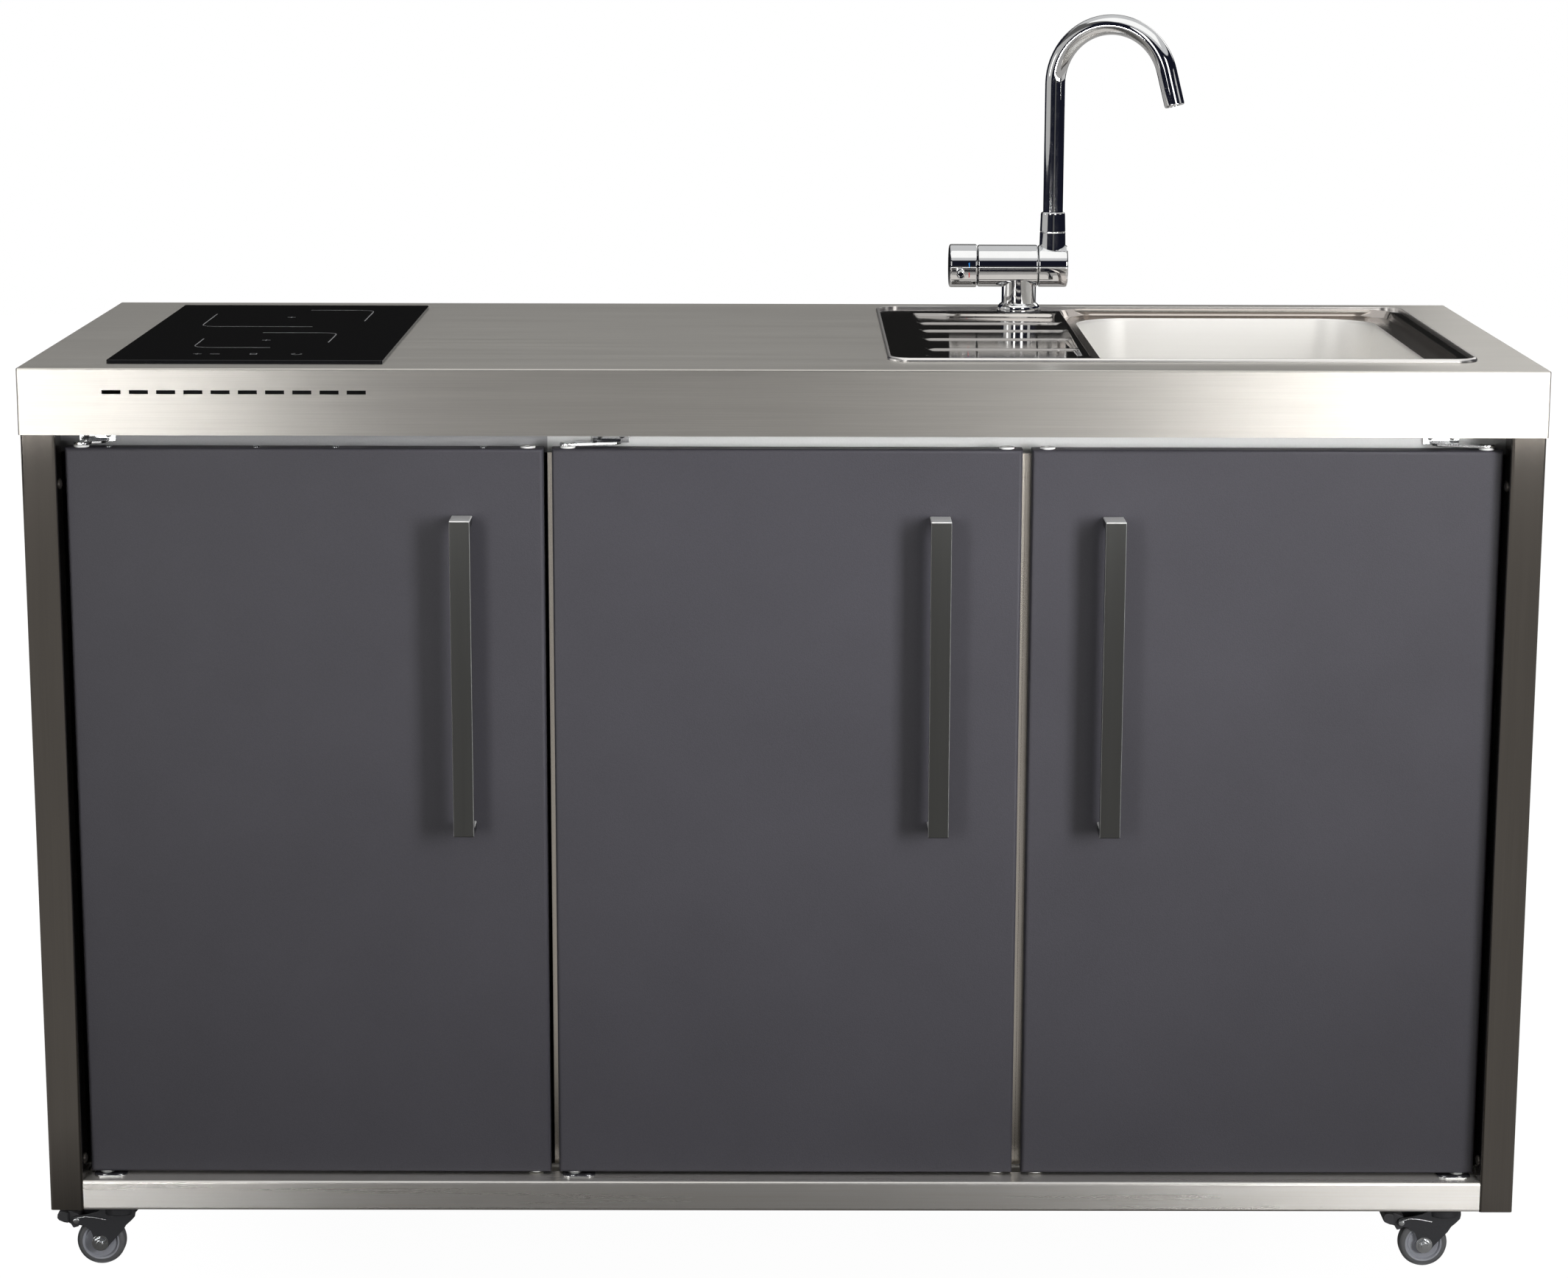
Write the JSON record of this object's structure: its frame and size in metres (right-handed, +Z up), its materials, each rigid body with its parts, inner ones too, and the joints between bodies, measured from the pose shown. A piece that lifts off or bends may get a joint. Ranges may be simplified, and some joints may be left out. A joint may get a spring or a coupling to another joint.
{
  "type": "outdoor kitchen unit",
  "caption": "Outdoor kitchen unit on castors: brushed steel worktop and frame, dark hinged doors with bar handles, glass hob, inset sink and folding mixer tap.",
  "frame": {"origin": "middle of the unit's footprint, handles included, on the floor under the castors", "axes": "+X to the right along the worktop as seen from the front, +Y from the doors to the back, +Z up"},
  "size_m": [1.5, 0.612, 1.2672],
  "materials": {
    "worktop_steel": "brushed, long grain along the length",
    "hob_glass": "polished black ceramic glass",
    "galvanised_case": "plain zinc coated",
    "sink_steel": "polished rim and drainer, satin bowl",
    "polished_steel": "polished",
    "white_plastic": "moulded",
    "tap_chrome": "mirror chrome",
    "leg_steel": "brushed along the length, dark",
    "rail_steel": "brushed",
    "grey_rail": "satin grey",
    "bright_rail": "satin white",
    "panel_steel": "brushed",
    "divider_steel": "brushed, warm",
    "dark_plastic": "moulded",
    "fridge_shell": "dark foam filled case",
    "white_liner": "vacuum formed white liner",
    "shelf_glass": "clear toughened glass",
    "compressor_black": "black enamel",
    "hinge_chrome": "bright plated",
    "dark_screw": "dark",
    "castor_black": "black passivated",
    "brass_fitting": "turned brass",
    "door_coat": "fine textured powder coat, anthracite",
    "door_back": "plain grey",
    "handle_steel": "brushed along the bar",
    "white_bush": "moulded",
    "gasket_rubber": "soft white seal",
    "cartridge_plastic": "moulded",
    "wheel_rubber": "grey tread on a light grey hub"
  },
  "bodies": {
    "frame": {"worktop": "worktop_steel", "hob_glass": "hob_glass", "hob_case": "galvanised_case", "sink": "sink_steel", "sink_waste": "polished_steel", "bottle_trap": "white_plastic", "tap_body": "tap_chrome", "leg_front_left": "leg_steel", "leg_front_right": "leg_steel", "leg_rear_left": "leg_steel", "leg_rear_right": "leg_steel", "base_rail_front": "rail_steel", "base_frame_rails": "rail_steel", "fridge_top_rail": "grey_rail", "cupboard_top_rail": "bright_rail", "back_panel": "panel_steel", "side_panels": "panel_steel", "floor_panel": "panel_steel", "fridge_divider": "divider_steel", "cupboard_dividers": "divider_steel", "cupboard_shelf": "panel_steel", "cupboard_catches": "dark_plastic", "fridge_cabinet": "fridge_shell", "fridge_liner": "white_liner", "fridge_shelves": "shelf_glass", "compressor": "compressor_black", "door_hinges": "hinge_chrome", "leg_screws": "dark_screw", "castor_plates": "castor_black", "cable_gland": "dark_plastic", "water_inlet": "brass_fitting"},
    "fridge_door": {"fridge_door_pan": "door_coat", "fridge_door_liner": "door_back", "fridge_door_handle": "handle_steel", "fridge_door_bushes": "white_bush", "fridge_gasket": "gasket_rubber"},
    "middle_door": {"middle_door_pan": "door_coat", "middle_door_liner": "door_back", "middle_door_handle": "handle_steel", "middle_door_bushes": "white_bush"},
    "right_door": {"right_door_pan": "door_coat", "right_door_liner": "door_back", "right_door_handle": "handle_steel", "right_door_bushes": "white_bush"},
    "tap_stem": {"tap_cartridge": "cartridge_plastic"},
    "tap_handle": {"tap_knob": "tap_chrome", "tap_lever": "tap_chrome"},
    "tap_fold": {"spout_hub": "tap_chrome"},
    "tap_spout": {"spout": "tap_chrome", "aerator": "tap_chrome"},
    "castor_front_left": {"fork_front_left": "castor_black"},
    "wheel_front_left": {"wheel_front_left": "wheel_rubber"},
    "brake_left": {"brake_pedal_left": "castor_black"},
    "castor_front_right": {"fork_front_right": "castor_black"},
    "wheel_front_right": {"wheel_front_right": "wheel_rubber"},
    "brake_right": {"brake_pedal_right": "castor_black"},
    "castor_rear_left": {"fork_rear_left": "castor_black"},
    "wheel_rear_left": {"wheel_rear_left": "wheel_rubber"},
    "castor_rear_right": {"fork_rear_right": "castor_black"},
    "wheel_rear_right": {"wheel_rear_right": "wheel_rubber"}
  },
  "joints": [
    {"name": "fridge_door_hinge", "type": "hinge", "parent": "frame", "child": "fridge_door", "pos_m": [-0.694, -0.2615, 0.483], "axis": [0, 0, -1], "range_deg": [0, 105]},
    {"name": "middle_door_hinge", "type": "hinge", "parent": "frame", "child": "middle_door", "pos_m": [-0.2135, -0.2615, 0.483], "axis": [0, 0, -1], "range_deg": [0, 105]},
    {"name": "right_door_hinge", "type": "hinge", "parent": "frame", "child": "right_door", "pos_m": [0.6955, -0.2615, 0.483], "axis": [0, 0, 1], "range_deg": [0, 105]},
    {"name": "tap_temperature", "type": "hinge", "parent": "frame", "child": "tap_stem", "pos_m": [0.2155, 0.2259, 0.9913], "axis": [1, 0, 0], "range_deg": [-40, 40]},
    {"name": "tap_flow", "type": "hinge", "parent": "tap_stem", "child": "tap_handle", "pos_m": [0.215, 0.2497, 0.9913], "axis": [0, 0, -1], "range_deg": [0, 12]},
    {"name": "spout_fold", "type": "hinge", "parent": "frame", "child": "tap_fold", "pos_m": [0.29855, 0.2259, 0.9913], "axis": [1, 0, 0], "range_deg": [0, 90]},
    {"name": "spout_swivel", "type": "hinge", "parent": "tap_fold", "child": "tap_spout", "pos_m": [0.29855, 0.2259, 1.0513], "axis": [0, 0, 1], "range_deg": [-20, 110]},
    {"name": "castor_front_left_swivel", "type": "hinge", "parent": "frame", "child": "castor_front_left", "pos_m": [-0.686, -0.244, 0.06], "axis": [0, 0, 1], "continuous": true},
    {"name": "castor_front_left_roll", "type": "hinge", "parent": "castor_front_left", "child": "wheel_front_left", "pos_m": [-0.706, -0.244, 0.025], "axis": [0, 1, 0], "continuous": true},
    {"name": "brake_left_press", "type": "hinge", "parent": "castor_front_left", "child": "brake_left", "pos_m": [-0.73, -0.244, 0.049], "axis": [0, -1, 0], "range_deg": [0, 14]},
    {"name": "castor_front_right_swivel", "type": "hinge", "parent": "frame", "child": "castor_front_right", "pos_m": [0.686, -0.244, 0.06], "axis": [0, 0, 1], "continuous": true},
    {"name": "castor_front_right_roll", "type": "hinge", "parent": "castor_front_right", "child": "wheel_front_right", "pos_m": [0.666, -0.244, 0.025], "axis": [0, 1, 0], "continuous": true},
    {"name": "brake_right_press", "type": "hinge", "parent": "castor_front_right", "child": "brake_right", "pos_m": [0.642, -0.244, 0.049], "axis": [0, -1, 0], "range_deg": [0, 14]},
    {"name": "castor_rear_left_swivel", "type": "hinge", "parent": "frame", "child": "castor_rear_left", "pos_m": [-0.686, 0.256, 0.06], "axis": [0, 0, 1], "continuous": true},
    {"name": "castor_rear_left_roll", "type": "hinge", "parent": "castor_rear_left", "child": "wheel_rear_left", "pos_m": [-0.706, 0.256, 0.025], "axis": [0, 1, 0], "continuous": true},
    {"name": "castor_rear_right_swivel", "type": "hinge", "parent": "frame", "child": "castor_rear_right", "pos_m": [0.686, 0.256, 0.06], "axis": [0, 0, 1], "continuous": true},
    {"name": "castor_rear_right_roll", "type": "hinge", "parent": "castor_rear_right", "child": "wheel_rear_right", "pos_m": [0.666, 0.256, 0.025], "axis": [0, 1, 0], "continuous": true}
  ]
}
